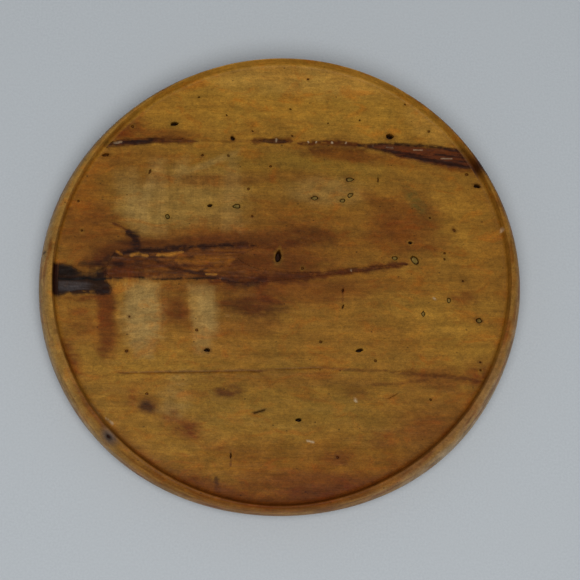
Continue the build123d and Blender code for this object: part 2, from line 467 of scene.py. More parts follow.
# Lines in the wood: points, half width in mm, shade, strength.
STROKES = [
    ([(-84, 12), (-76, 15), (-60, 16), (-42, 18), (-26, 19), (-13, 19)], 1.5, "soot", 0.95),
    ([(-74, 14), (-66, 13)], 2.2, "soot", 0.75),
    ([(-24, 19), (-6, 19), (16, 22)], 1.8, "umber", 0.55),
    ([(-90, 3), (-76, 6), (-60, 8), (-46, 5), (-33, 3), (-22, 1)], 1.3, "umber", 0.9),
    ([(-56, 7), (-44, 5), (-32, 3)], 0.8, "soot", 0.7),
    ([(-36, 2), (-15, 1), (0, 3), (14, 4)], 2.8, "umber", 0.95),
    ([(-30, 2), (-18, -1), (-8, 2)], 1.8, "soot", 0.7),
    ([(0, 4), (20, 5), (40, 8), (62, 11)], 1.7, "umber", 1.0),
    # Painted shade: the crack through the knot and along the branch, black, with no groove in the
    # mesh.
    ([(-113, 1), (-100, 1), (-86, 1), (-72, 2), (-60, 1), (-46, 2), (-30, 2)], 0.5, "black", 0.85),
    ([(-114, -6), (-100, -5), (-86, -6)], 1.7, "soot", 0.95),
    # Painted glints: the three ochre lines below are painted highlights on the branch.
    ([(-75, 13), (-71, 14), (-66, 13)], 0.8, "ochre", 0.5),
    ([(-62, 13), (-55, 14), (-49, 15)], 0.8, "ochre", 0.5),
    ([(-38, 4), (-32, 4)], 0.3, "ochre", 0.5),
    ([(-52, 11), (-40, 11), (-24, 12)], 2.2, "orange", 0.4),
    ([(-82, 15), (-79, 13)], 0.6, "orange", 0.7),
    ([(-84, 29), (-79, 27), (-76, 25)], 0.6, "umber", 0.8),
    ([(-77, 25), (-73, 22), (-72, 16)], 2.4, "soot", 0.95),
    ([(8, 72), (22, 73), (39, 72)], 1.5, "umber", 0.95),
    ([(14, 70), (28, 71), (42, 70)], 2.6, "umber", 0.6),
    ([(-86, 3), (-74, 3), (-60, 4)], 1.6, "umber", 0.8),
    ([(-100, 8), (-90, 9), (-84, 12)], 1.2, "soot", 0.6),
    ([(38, 72), (58, 73), (78, 72), (96, 69)], 0.8, "soot", 0.9),
    ([(60, 67), (80, 64), (98, 61)], 0.8, "soot", 0.7),
    ([(-93, 69), (-86, 70), (-74, 71), (-62, 72)], 1.5, "soot", 0.85),
    ([(-64, 72), (-54, 73), (-44, 72)], 1.8, "umber", 0.7),
    ([(-42, 72), (-14, 73)], 0.7, "umber", 0.4),
    ([(-15, 73), (5, 73)], 1.5, "umber", 0.8),
    ([(-10, 73), (2, 73)], 0.8, "soot", 0.8),
    ([(-80, -46), (-45, -45), (-10, -44)], 0.8, "umber", 0.6),
    ([(-12, -44), (-4, -43), (20, -42), (50, -43)], 0.8, "umber", 0.45),
    ([(50, -43), (72, -45), (90, -46), (101, -49)], 1.0, "umber", 0.6),
    ([(44, -50), (60, -49), (72, -47)], 0.9, "umber", 0.45),
    ([(-14, -65), (-8, -63)], 0.6, "soot", 0.7),
    ([(52, -57), (57, -54)], 0.4, "umber", 0.6),
    ([(-25, -83), (-25, -91)], 0.6, "umber", 0.7),
    ([(-32, -97), (-31, -106)], 1.5, "soot", 0.7),
    ([(30, -1), (30, -13)], 0.5, "umber", 0.4),
    ([(-86, -68), (-82, -71)], 0.6, "wax", 0.5),
    ([(12, -78), (16, -79)], 0.4, "wax", 0.6),
    ([(45, 72), (49, 72)], 0.22, "wax", 0.45),
    ([(52, 71), (56, 71)], 0.22, "wax", 0.45),
    ([(66, 70), (71, 70)], 0.22, "wax", 0.45),
    ([(80, 66), (86, 66)], 0.22, "wax", 0.45),
    ([(-8, 73), (-2, 73)], 0.22, "wax", 0.45),
    ([(-84, 70), (-80, 71)], 0.3, "wax", 0.4),
]

# Flecks of wax and filler: x, y, radius.
WAX_FLECKS = [
    (-3, 74, 0.5), (13, 73, 0.4), (17, 73, 0.4), (25, 73, 0.5), (32, 73, 0.4), (34, 7, 0.4),
    (76, -6, 0.6), (36, -58, 0.9), (-69, -4, 0.5), (92, 64, 0.4), (-27, -17, 0.6), (110, 29, 0.9),
]


SMALL_PATCH = 15  # patches under this half length are streaky


def patch(x, y, spot, seed):
    """How strongly a soft, uneven patch covers each point."""
    cx, cy, long, wide, turn = spot[:5]
    u, v = turned(x - cx, y - cy, turn)
    u, v = u / long, v / wide
    near = np.hypot(u, v) < 1.8
    amount = np.zeros(len(x))
    px, py = x[near], y[near]
    ragged = 0.30 * fractal(px / 9, py / 4, seed, 3) + 0.12 * noise(px / 2.5, py / 0.9, seed + 5)
    amount[near] = 1 - step(0.35, 1.25, np.hypot(u, v)[near] + ragged)
    if max(long, wide) < SMALL_PATCH:
        streaky = 0.8 + 1.1 * fractal(px / 3.5, py / 1.3, seed + 9, 4)
        amount[near] = amount[near] * np.clip(streaky, 0.15, 1.2)
        amount = np.clip(amount, 0, 1)
    return amount


def stroke(x, y, line, seed):
    """How strongly an uneven line covers each point."""
    points, half = line[:2]
    pts = np.array(points, float)
    near = box_near(x, y, pts, 3 * half + 1)
    px, py = x[near], y[near]
    wander = 0.5 * noise(px / 7, 0.5, seed) + 0.25 * noise(px / 2.1, 0.5, seed + 1)
    gap, place = polyline_distance(px, py + wander * min(half, 0.8), points)
    ends = step(-0.04, 0.05, place) * step(1.04, 0.93, place)
    width = half * (1 + 0.45 * noise(px / 3, py / 3, seed + 2)) * ends
    broken = np.clip(1.1 + 1.1 * fractal(px / 1.8, py / 0.8, seed + 3, 2), 0.3, 1)
    amount = np.zeros(len(x))
    amount[near] = broken * (1 - step(0.4, 1.5, gap / np.maximum(width, 0.05)))
    return amount


def fill(x, y, loop, softness, seed):
    """How strongly a stain with a ragged outline covers each point."""
    pts = np.array(loop, float)
    near = box_near(x, y, pts, 2 * softness + 1)
    px, py = x[near], y[near]
    gap, _ = polyline_distance(px, py, np.concatenate([pts, pts[:1]]))
    gap = np.where(inside(pts, px, py), -gap, gap)
    gap = gap + 0.8 * softness * fractal(px / 5, py / 1.8, seed, 3)
    amount = np.zeros(len(x))
    amount[near] = 1 - step(-softness, softness, gap)
    return amount


def flecks(x, y, color):
    """Specks of wax and filler."""
    for cx, cy, radius in WAX_FLECKS:
        gap = np.hypot(x - cx, y - cy) / radius
        color = blend_in(color, 0.8 * (1 - step(0.5, 1.3, gap)), "wax")
    return color


def grain_height(x, y):
    """Which fibre line a point lies on: the lines run along x and part round the knot."""
    bend = 7.0 * hump(x + 88, 30) * np.tanh((y - 1) / 7) * hump(y - 1, 26)
    lower = 3.0 * hump(x + 20, 40) * hump(y - 10, 16)
    return y - bend - lower + 2.2 * fractal(x / 60, y / 24, 11, 3)


def blend_in(color, amount, shade):
    amount = amount[:, None]
    return color * (1 - amount) + wood(shade) * amount


def layered(color, *coats):
    """Lays coats over a colour, one after another. Each is an amount and a shade."""
    for amount, shade in coats:
        color = blend_in(color, amount, shade)
    return color


def plain(x, shade):
    """The same shade at every point."""
    return np.tile(wood(shade), (len(x), 1))


def knot_cover(x, y):
    """How black the dead knot is: solid on the left and below, broken up at the upper right."""
    cover = fill(x, y, KNOT_LOOP, 1.4, 209)
    thin = step(-104, -95, x) * step(0.8, 3.0, y)
    broken = 0.5 + 0.5 * fractal(x / 3, y / 1.4, 96, 4)
    return cover * (1 - 0.6 * thin * (1 - step(0.40, 0.62, broken)))


def heartwood(x, y, color):
    """The branch and the bark: a body colour, then darker and lighter threads along the grain."""
    lines = grain_height(x, y)
    threads = 0.5 + 0.5 * noise(x / 14, lines / 0.9, 201)
    broad = 0.5 + 0.5 * fractal(x / 26, lines / 2.6, 202, 2)
    branch = fill(x, y, SPIKE_LOOP, 1.6, 203)
    color = layered(
        color,
        (0.7 * branch, "red"),
        (0.7 * branch * step(0.4, 0.7, broad), "umber"),
        (0.7 * branch * step(-58, -80, x), "umber"),
        (0.4 * branch * step(0.5, 0.9, threads), "soot"),
        (0.3 * branch * step(0.4, 0.1, threads), "orange"))
    grime = fill(x, y, SPIKE_LOOP, 5.0, 204) * step(-10, -40, x)
    mottle = 0.5 + 0.5 * fractal(x / 5, lines / 1.7, 208, 4)
    color = blend_in(color, 0.85 * grime * step(0.45, 0.75, mottle), "soot")
    fibres = 0.5 + 0.5 * fractal(x / 16, (y + 0.1 * x) / 1.1, 215, 3)
    for k, loop in enumerate((BARK_LOOP, LEFT_SEAM_LOOP, SHORT_SEAM_LOOP)):
        bark = fill(x, y, loop, 0.8, 205 + k)
        color = layered(
            color,
            (0.95 * bark, "maroon"),
            (0.85 * bark * step(0.48, 0.62, fibres), "soot"),
            (0.35 * bark * step(0.42, 0.28, fibres), "rust"))
    return color


def paint(x, y):
    """Colour of the wood, seen from above, for every point, with painted shade along the floor's
    edge.
    """
    color = plain(x, "honey")
    for k, spot in enumerate(PATCHES):
        color = blend_in(color, patch(x, y, spot, 100 + 7 * k) * spot[6], spot[5])
    shade = 0.10 * fractal(x / 9, grain_height(x, y) / 5, 221, 4)
    tone = 0.09 * fractal(x / 15, y / 9, 222, 4)
    color = color * (1 + np.stack([shade + 0.3 * tone, shade - 0.5 * tone, shade - 1.6 * tone], 1))
    for k, (outline, softness, name, strength) in enumerate(BANDS):
        color = blend_in(color, strength * fill(x, y, outline, softness, 500 + 7 * k), name)
    color = heartwood(x, y, color)
    for k, line in enumerate(STROKES):
        color = blend_in(color, stroke(x, y, line, 700 + 7 * k) * line[3], line[2])
    color = flecks(x, y, color)
    away, angle = well_polar(x, y)
    inset = floor_radius(angle) - away
    # Painted shade and dirt along the floor's edge: a thin dark band in the hollow corner, much
    # wider and darker on the south side, where the rim shades the floor.
    south = np.clip(-np.sin(angle), 0, 1) ** 3
    edge_shade_and_dirt = np.exp(-np.maximum(inset, 0) / (0.6 + 2.6 * south)) * (0.12 + 0.75 * south)
    color = blend_in(color, edge_shade_and_dirt, "rust")
    return blend_in(color, 0.95 * knot_cover(x, y), "soot")


def hole_marks(x, y, color):
    """Beetle holes: dark inside, with a thin stained edge. The dark inside is painted shade, on top
    of the hole's real depth, so a packed one shows a dark ring of it round its plug.
    """
    for k, hole in enumerate(OPEN_HOLES + PACKED_HOLES):
        near, away = hole_distance(x, y, hole, k)
        dark = np.zeros(len(x))
        halo = np.zeros(len(x))
        dark[near] = 1 - step(0.75, 1.15, away)
        halo[near] = (1 - step(1.2, 2.0, away)) * 0.35
        color = blend_in(color, halo, "olive" if k % 3 else "umber")
        small = len(BEETLE_HOLES) <= k < len(OPEN_HOLES)
        # Painted shade inside the hole.
        color = blend_in(color, dark * (0.75 if small else 0.95), "umber" if small else "soot")
    return color


# ==== meshes ====
def hole_distance(x, y, hole, seed):
    """Which points are near a hole, and how far out they are (1 at its ragged edge)."""
    cx, cy, long, wide, turn = hole[:5]
    dx, dy = x - cx, y - cy
    near = np.hypot(dx, dy) < 3 * max(long, wide) + 1
    u, v = turned(dx[near], dy[near], turn)
    u, v = u / long, v / wide
    around = np.arctan2(v, u)
    ragged = 1 + RAGGED * noise(1.4 * np.cos(around) + seed, 1.4 * np.sin(around), 41)
    return near, np.hypot(u, v) / ragged


def ragged_ring(hole, scale, count, seed):
    """A hole's uneven outline at some scale, as offsets along and across the hole."""
    t = np.linspace(0, 2 * math.pi, count, endpoint=False)
    reach = scale * (1 + RAGGED * noise(1.4 * np.cos(t) + seed, 1.4 * np.sin(t), 41))
    return hole[2] * reach * np.cos(t), hole[3] * reach * np.sin(t)


def place_at(hole, u, v):
    """Turns offsets along and across a hole into places on the floor."""
    a = math.radians(hole[4])
    x = hole[0] + u * math.cos(a) - v * math.sin(a)
    return np.stack([x, hole[1] + u * math.sin(a) + v * math.cos(a)], 1)


def hole_ring(hole, scale, seed):
    count = max(10, int(2 * math.pi * max(hole[2:4]) * scale / 0.42))
    return place_at(hole, *ragged_ring(hole, scale, count, seed))


def floor_wave(x, y):
    """The floor isn't quite flat: gouge flats, raised grain and shallow turning rings."""
    away, _ = well_polar(x, y)
    wave = 0.10 * fractal(x / 34, y / 20, 51, 2)
    wave = wave + 0.035 * noise(x / 16, grain_height(x, y) / 1.6, 52)
    return wave + 0.012 * np.sin(away * 2.4 + 2 * noise(x / 40, y / 40, 53))


def floor_height(x, y, pockets):
    z = FLOOR - SKIN + floor_wave(x, y)
    for loop, depth in pockets:
        z = np.where(inside(loop, x, y), FLOOR - depth, z)
    for k, hole in enumerate(OPEN_HOLES):
        near, away = hole_distance(x, y, hole, k)
        z[near] -= hole[5] * (1 - step(0.6, 1.02, away))
    for k, hole in enumerate(PACKED_HOLES):
        near, away = hole_distance(x, y, hole, k + len(OPEN_HOLES))
        z[near] -= 1.6 * (1 - step(0.9, 1.06, away))
    for points, half, depth in CRACKS:
        gap, place = polyline_distance(x, y, points)
        ends = step(0, 0.06, place) * step(1, 0.94, place)
        z = z - depth * (1 - step(0.2, 1.0, gap / half)) * ends
    return z


def grid_points(reach, spacing):
    """A triangular grid of points, and which of them make up a coarser grid."""
    rise = spacing * math.sqrt(3) / 2
    rows = np.arange(-math.ceil(reach / rise), math.ceil(reach / rise) + 1)
    cols = np.arange(-math.ceil(reach / spacing) - 1, math.ceil(reach / spacing) + 1)
    i, j = (grid.ravel() for grid in np.meshgrid(cols, rows))
    return (i + 0.5 * (j % 2)) * spacing, j * rise, (i % 2 == 0) & (j % 2 == 0)


def clear_of(x, y, taken, room):
    """Which points keep at least about this much room from all the taken ones."""
    size, half_map = room * 0.75, 130
    cells = np.zeros((int(2 * half_map / size), int(2 * half_map / size)), bool)
    ti, tj = ((taken[:, k] + half_map) / size for k in (0, 1))
    for di in (-1, 0, 1):
        for dj in (-1, 0, 1):
            cells[(ti + di).astype(int), (tj + dj).astype(int)] = True
    return ~cells[((x + half_map) / size).astype(int), ((y + half_map) / size).astype(int)]


def triangulate(points, loops):
    """Delaunay triangles of points, cut to the loops; every loop's edges are kept."""
    edges = [(loop[k], loop[(k + 1) % len(loop)]) for loop in loops for k in range(len(loop))]
    flat = [Vector((float(a), float(b))) for a, b in points]
    verts, _, faces, _, _, _ = delaunay_2d_cdt(flat, edges, [], 1, 1e-5)
    return np.array([tuple(v) for v in verts]), np.array([tuple(f) for f in faces])


def net(edge, taken, x, y, room, loops):
    """Triangles over the edge's points and the others that keep clear of the taken ones."""
    use = clear_of(x, y, taken, room)
    return triangulate(np.concatenate([edge, np.stack([x[use], y[use]], 1)]), loops)


# Where cutting and scraping has worn the floor: x, y, half length, half width, turn, amount.
WORN_ZONES = [
    (-45, 42, 50, 26, 0, 1.0), (-58, -16, 36, 20, 0, 0.9), (20, 46, 30, 14, 0, 0.4),
    (-40, -60, 40, 24, 0, 0.4),
]


def worn(x, y):
    """How scraped the surface is, from 0 to 1."""
    total = np.zeros(len(x))
    for k, zone in enumerate(WORN_ZONES):
        total = np.maximum(total, zone[5] * patch(x, y, zone, 900 + 7 * k))
    return total


def make_piece(name, points, faces, colors, material, node):
    """A mesh piece of the plate, from points in millimetres."""
    mesh = bpy.data.meshes.new(name)
    mesh.from_pydata((np.asarray(points) * MM).tolist(), [], [tuple(map(int, f)) for f in faces])
    tint = mesh.color_attributes.new("tint", "FLOAT_COLOR", "POINT")
    rgba = np.ones((len(mesh.vertices), 4))
    rgba[:, :3] = colors
    tint.data.foreach_set("color", rgba.ravel())
    grain = mesh.attributes.new("grain", "FLOAT_VECTOR", "POINT")
    pts = np.asarray(points)
    x, y, z = pts.T
    lines = np.stack([x, grain_height(x, y), z], 1)
    grain.data.foreach_set("vector", lines.ravel())
    scrape = mesh.attributes.new("worn", "FLOAT", "POINT")
    scrape.data.foreach_set("value", worn(x, y))
    mesh.shade_smooth()
    mesh.set_sharp_from_angle(angle=math.radians(50))
    piece = bpy.data.objects.new(name, mesh)
    bpy.context.collection.objects.link(piece)
    mesh.materials.append(material)
    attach(piece, "root")
    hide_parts(node)


def keep_inside(loop, margin=0.5):
    """Pulls a loop in wherever it would run past the edge of the floor."""
    away, angle = well_polar(*loop.T)
    return from_well(np.minimum(away, floor_radius(angle) - margin), angle)


LOOPS = {
    "black_knot": keep_inside(smooth_loop(KNOT_LOOP, 0.5, 0.25, 61)),
    "branch_spike": smooth_loop(SPIKE_LOOP, 0.55, 0.25, 62),
    "bark_pocket": keep_inside(smooth_loop(BARK_LOOP, 0.55, 0.3, 63)),
    "left_seam": smooth_loop(LEFT_SEAM_LOOP, 0.5, 0.15, 64),
    "short_seam": smooth_loop(SHORT_SEAM_LOOP, 0.5, 0.12, 65),
}
POCKET_DEPTH = 2.6


def floor_mesh():
    """The recessed floor: a net of triangles that follows every hole, crack and pocket."""
    rim = from_well(floor_radius(RING_ANGLES), RING_ANGLES)
    groups, loops, pockets, start = [rim], [range(RIM_STEPS)], [], RIM_STEPS
    for loop in LOOPS.values():
        for ring in (loop, grow(loop, -0.03)):
            groups.append(ring)
            loops.append(range(start, start + len(ring)))
            start += len(ring)
        pockets.append((grow(loop, -0.015), POCKET_DEPTH))
    for k, hole in enumerate(OPEN_HOLES + PACKED_HOLES):
        packed = k >= len(OPEN_HOLES)
        for scale in ((1.35, 1.08, 0.88, 0.5) if packed else (1.35, 1.05, 0.82, 0.6, 0.25)):
            groups.append(hole_ring(hole, scale, k))
    for points, half, _ in CRACKS:
        pts = np.array(points, float)
        at = np.concatenate([[0], np.cumsum(np.hypot(*np.diff(pts, axis=0).T))])
        t = np.linspace(0, at[-1], int(at[-1] / FINE) + 2)
        line = np.stack([np.interp(t, at, pts[:, k]) for k in (0, 1)], 1)
        for shift in (-half, 0, half):
            groups.append(line + [0, shift])
    taken = np.concatenate(groups)
    x, y, coarse = grid_points(FLOOR_REACH, FINE)
    away, around = well_polar(x, y)
    fine = detail_area(x, y)
    use = (away < floor_radius(around) - FINE) & (coarse | fine)
    verts, faces = net(taken, taken, x[use], y[use], 0.45, loops)
    z = floor_height(*verts.T, pockets)
    return np.column_stack([verts, z]), faces


def detail_area(x, y):
    """Where the wood is busy enough to need the finer net."""
    busy = np.zeros(len(x), bool)
    for points, *_ in STROKES:
        box = box_near(x, y, np.array(points, float), 3)
        gap, _ = polyline_distance(x[box], y[box], points)
        busy[box] |= gap < 2.2
    return busy


def edge_profile():
    """Rings from the floor's edge over the rim and down to the foot: kind, reach and z.

    The reach is how far out from the floor's edge (well), the share of the way from the crest to
    the widest line (slope), or how far in from the widest line (tuck).
    """
    rings = []
    wall_top = HEIGHT - CREST_LIP
    for k in range(1, 7):
        t = math.radians(15 * k)
        rings.append(("well", CORNER * math.sin(t), FLOOR - 0.1 + CORNER * (1 - math.cos(t))))
    for k in range(1, 5):
        z = FLOOR + CORNER + (wall_top - FLOOR - CORNER) * k / 5
        rings.append(("well", CORNER + TAPER * k / 5, z))
    for k in range(0, 4):
        t = math.radians(30 * k)
        reach = CORNER + TAPER + CREST_LIP * (1 - math.cos(t))
        rings.append(("well", reach, wall_top + CREST_LIP * math.sin(t)))
    for k in range(1, 19):
        t = math.radians(90 - 5 * k)
        rings.append(("slope", math.cos(t), BULGE + (HEIGHT - BULGE) * math.sin(t)))
    for k in range(1, 9):
        t = math.radians(90 * k / 8)
        z = BULGE - (BULGE - TUCK_HEIGHT) * math.sin(t)
        rings.append(("tuck", TUCK * (1 - math.cos(t)), z))
    return rings


def rim_wear(angle, k):
    """Small dents and flats along the crest and edge, in mm."""
    return 0.12 * fractal(angle * 9, k * 0.15, 71, 3) + 0.10 * noise(angle * 34, k * 0.4, 72)


def edge_rings():
    """Points of every ring, as an array (ring, angle, xyz)."""
    angle = RING_ANGLES
    unit = unit_circle(angle)
    crest = crest_points(angle)
    rings = []
    for k, (kind, a, z) in enumerate(edge_profile()):
        if kind == "well":
            flat = from_well(floor_radius(angle) + a, angle)
        else:
            edge = unit * edge_radius(angle)[:, None]
            flat = crest + (edge - crest) * a if kind == "slope" else edge - unit * a
        dent = np.abs(rim_wear(angle, k) * (1 if kind == "slope" and 0 < a < 0.95 else 0.25))
        flat = flat - unit * dent[:, None]
        rings.append(np.column_stack([flat, z - 0.3 * dent]))
    return np.array(rings)


def base_mesh():
    """The underside: a foot ring round a shallow turned hollow."""
    rim = unit_circle(RING_ANGLES) * oval_radius(RING_ANGLES, FOOT_LONG, FOOT_SHORT)[:, None]
    hollow = unit_circle(RING_ANGLES[::2])
    taken = np.concatenate([rim] + [(HOLLOW_RADIUS - k) * hollow for k in range(HOLLOW_SLOPE + 1)])
    x, y, _ = grid_points(FOOT_LONG + 4, 2.1)
    use = np.hypot(x, y) < oval_radius(np.arctan2(y, x), FOOT_LONG, FOOT_SHORT) - 1.6
    verts, faces = net(taken, taken, x[use], y[use], 1.0, [range(RIM_STEPS)])
    away = np.hypot(verts[:, 0], verts[:, 1])
    z = HOLLOW_DEPTH * (1 - step(HOLLOW_RADIUS - HOLLOW_SLOPE, HOLLOW_RADIUS, away))
    z = z + 0.05 * (0.5 + 0.5 * np.sin(away * 1.9)) * (away < 97)
    return np.column_stack([verts, z]), faces


# Painted sheen, highlight and shade, and worn and weathered parts of the edge: angle, spread,
# lowest and highest z, shade, strength. The "ash" and "wax" entries are painted sheen, "straw" on
# the north a painted highlight and "slate" on the north-west painted shade.
EDGE_SHEEN_SHADE_AND_WEAR = [
    (0, 40, 14, 20, "honey", 0.8),
    (90, 60, 4, 21, "straw", 0.95),
    (140, 34, 4, 12, "slate", 0.7),
    (150, 26, 13, 20, "tan", 0.6),
    (172, 24, 9, 19, "ash", 0.5),
    (185, 20, 4, 12, "rust", 0.5),
    (200, 34, 10, 20, "tan", 0.9),
    (215, 34, 5, 14, "ash", 0.7),
    (270, 30, 8, 19, "amber", 0.7),
    (322, 30, 3, 19, "ash", 1.0),
    (350, 22, 3, 15, "wax", 0.7),
    (20, 24, 5, 13, "tan", 0.6),
]
BARK_ANGLE = 32.5  # where the bark runs out over the rim
# The rim hole is painted only: a dark spot of painted shade.
RIM_HOLE = (-117, 13)  # a beetle hole in the rim, painted only
# Rings of edge_profile, by their number.
CORNER_RING = 2  # in the hollow corner
CORNER_TOP = 5  # where the corner ends and the wall of the recess begins
WALL_TOP = 9  # the last ring of that wall
CREST_RING = 12  # on the rounded crest


def paint_outside(angle, z):
    """Colour of the outside of the rim: painted sheen, highlight and shade, worn places, streaks
    and a dark foot.
    """
    color = plain(z, "honey")
    color = blend_in(color, 0.4 + 0.5 * fractal(angle * 5, z / 5, 81, 3), "brown")
    # Painted sheen, highlight and shade, and worn places, from the table above.
    for middle, spread, low, high, shade, strength in EDGE_SHEEN_SHADE_AND_WEAR:
        level = hump(z - (low + high) / 2, 0.5 * (high - low), 4)
        sheen_shade_and_wear = near_angle(angle, middle, spread) * level
        sheen_shade_and_wear = sheen_shade_and_wear * (0.75 + 0.35 * fractal(angle * 12, z / 3, 83, 3))
        color = blend_in(color, np.clip(sheen_shade_and_wear * strength, 0, 1), shade)
    streaks = fractal(angle * 8, z * 0.9 + 2 * np.sin(angle * 3), 85, 3)
    return layered(
        color,
        (0.55 * step(0.05, 0.4, streaks), "rust"),
        (0.3 * step(-0.05, -0.4, streaks), "straw"),
        (step(9, 2, z) * 0.6, "umber"))


def paint_edge(rings):
    """Colour of the rim, edge and tuck, with painted shade in the hollow corner and on the wall of
    the recess, and painted light on the north wall.
    """
    x, y, z = rings.reshape(-1, 3).T
    angle = np.arctan2(y, x)
    ring = np.repeat(np.arange(len(rings)), RIM_STEPS)
    outside = step(CORNER_TOP, CREST_RING, ring.astype(float))
    color = paint(x, y) * (1 - outside[:, None]) + paint_outside(angle, z) * outside[:, None]
    north = 0.5 + 0.5 * np.sin(angle)
    west = 0.5 - 0.5 * np.cos(angle)
    south = np.clip(-np.sin(angle), 0, 1) ** 3
    corner = hump(ring - CORNER_RING, 3.5, 4)
    wall = hump(ring - WALL_TOP, 4.0, 4)
    corner_shade_and_dirt = np.clip(0.25 + 0.6 * south - 0.25 * north - 0.1 * west, 0, 1)
    above_foot = step(2, 14, z)
    bark = near_angle(angle, BARK_ANGLE, 2.6 + 1.4 * step(12, 18, z)) * above_foot
    hole = np.hypot(x - RIM_HOLE[0], y - RIM_HOLE[1])
    dx, dy = x - PIN_KNOT[0], y - PIN_KNOT[1]
    halo = np.hypot((dx - dy) / 2.6, (dx + dy) / 1.5)
    return layered(
        color,
        # Painted shade and dirt in the hollow corner: strongest on the south, faint on the east,
        # almost none on the north and west.
        (corner * corner_shade_and_dirt, "rust"),
        # Painted shade on the wall of the recess: darkest on the south, where the wall faces away
        # from the light, least on the north.
        (wall * (0.4 - 0.35 * north - 0.05 * west), "brown"),
        (0.85 * south * hump(ring - CREST_RING, 7.5, 4), "rust"),
        # Painted light: the north wall and corner, which face the light, are turned gold.
        ((wall + corner) * 0.6 * step(0.6, 1.0, north), "gold"),
        (fill(x, y, KNOT_LOOP, 0.8, 209) * (1 - outside), "soot"),
        (bark * 0.9, "umber"),
        (0.7 * near_angle(angle, BARK_ANGLE - 0.8, 1.8) * above_foot, "soot"),
        # Painted shade: the rim's beetle hole, a dark spot with no depth.
        (0.95 * (1 - step(0.6, 1.2, hole)), "soot"),
        (0.75 * (1 - step(0.8, 4.0, halo)), "slate"),
        (0.8 * (1 - step(0.4, 1.6, halo)), "black"))


def paint_base(x, y):
    """Colour of the underside: plain wood, paler on the foot ring and darker along the edge of the
    hollow.
    """
    lines = grain_height(x, y)
    away = np.hypot(x, y)
    return layered(
        plain(x, "brown"),
        (0.5 + 0.5 * fractal(x / 40, lines / 9, 231, 4), "honey"),
        (0.6 * step(0.1, 0.5, fractal(x / 30, lines / 6, 232, 4)), "red"),
        (0.5 * step(HOLLOW_RADIUS - 1, HOLLOW_RADIUS + 4, away), "olive"),
        (0.5 * hump(away - HOLLOW_RADIUS, 2), "umber"))


def plate_piece(material):
    floor, floor_faces = floor_mesh()
    rings = edge_rings()
    base, base_faces = base_mesh()
    count = len(rings)
    edge = rings.reshape(-1, 3)
    first, last = len(floor), len(floor) + len(edge)
    points = np.concatenate([floor, edge, base])
    faces = [tuple(f) for f in floor_faces]
    column = np.arange(RIM_STEPS)
    follow = (column + 1) % RIM_STEPS

    def bridge(low, high):
        faces.extend(zip(low + column, high + column, high + follow, low + follow))

    bridge(0, first)
    for k in range(count - 1):
        bridge(first + k * RIM_STEPS, first + (k + 1) * RIM_STEPS)
    bridge(first + (count - 1) * RIM_STEPS, last)
    faces.extend(tuple(last + f[::-1]) for f in base_faces)
    x, y = floor.T[:2]
    top = hole_marks(x, y, paint(x, y))
    colors = np.concatenate([top, paint_edge(rings), paint_base(*base.T[:2])])
    make_piece("plate", points, faces, colors, material, "plate_body")


def inlay(loop, relief, sink):
    """A closed solid that fills a pocket: a lively top face, straight sides and a flat bottom."""
    loop = grow(loop, -0.09)
    inner = grow(loop, -0.25)
    x, y, _ = grid_points(FLOOR_REACH, FINE)
    box = box_near(x, y, loop, 0)
    x, y = x[box], y[box]
    use = inside(inner, x, y)
    verts, faces = net(loop, inner, x[use], y[use], 0.4, [range(len(loop))])
    z = FLOOR - SKIN - sink + floor_wave(*verts.T) + relief(*verts.T)
    top = np.column_stack([verts, z])
    bottom = np.column_stack([verts, np.full(len(verts), FLOOR - POCKET_DEPTH + 0.15)])
    count, size = len(loop), len(verts)
    left = runs_left(loop)
    sides = []
    for k in range(count):
        j = (k + 1) % count
        a, b = (k, j) if left else (j, k)
        sides.append((a, size + a, size + b, b))
    all_faces = [tuple(f) for f in faces] + [tuple(f[::-1] + size) for f in faces] + sides
    return np.concatenate([top, bottom]), all_faces


def join_solids(parts):
    points, faces, start = [], [], 0
    for pts, fcs in parts:
        points.append(pts)
        faces.extend(tuple(int(i) + start for i in f) for f in fcs)
        start += len(pts)
    return np.concatenate(points), faces


# ==== materials ====
class Graph:
    """Short calls for building the nodes of a material or of the sky."""

    def __init__(self, owner):
        self.owner = owner
        owner.use_nodes = True
        self.tree = owner.node_tree

    def add(self, kind, output, inputs, **settings):
        """Adds a node with its inputs, each a value or another node's output."""
        node = self.tree.nodes.new("ShaderNode" + kind)
        for name, value in settings.items():
            setattr(node, name, value)
        self.plug(node, inputs)
        return node.outputs[output]

    def plug(self, node, inputs):
        for key, value in inputs.items():
            if isinstance(value, bpy.types.NodeSocket):
                self.tree.links.new(value, node.inputs[key])
            else:
                node.inputs[key].default_value = value

    def attribute(self, name, output="Color"):
        return self.add("Attribute", output, {}, attribute_name=name)

    def scaled(self, vector, along, across):
        stretch = (along, across, across)
        return self.add("VectorMath", 0, {0: vector, 1: stretch}, operation="MULTIPLY")

    def noise(self, vector, along, across, detail=2.0, rough=0.5, distortion=0.0):
        """Noise that is scaled along and across the grain."""
        spot = self.scaled(vector, along, across)
        return self.add("TexNoise", "Fac", {"Vector": spot, "Scale": 1.0, "Detail": detail,
                                            "Roughness": rough, "Distortion": distortion})

    def between(self, value, low, high, to_low=0.0, to_high=1.0):
        return self.add("MapRange", "Result",
                        {"Value": value, "From Min": low, "From Max": high,
                         "To Min": to_low, "To Max": to_high}, interpolation_type="SMOOTHSTEP")

    def math(self, operation, a, b, c=0.0):
        return self.add("Math", 0, {0: a, 1: b, 2: c}, operation=operation)

    def mix(self, amount, a, b, blend="MIX"):
        return self.add("Mix", 2, {0: amount, 6: a, 7: b}, data_type="RGBA", blend_type=blend)

    def bump(self, height, distance, **under):
        return self.add("Bump", "Normal",
                        {"Strength": 0.5, "Distance": distance, "Height": height} | under)

    def surface(self, inputs):
        """Sets the surface's inputs and gives the finished material."""
        self.plug(self.tree.nodes["Principled BSDF"], inputs)
        return self.owner


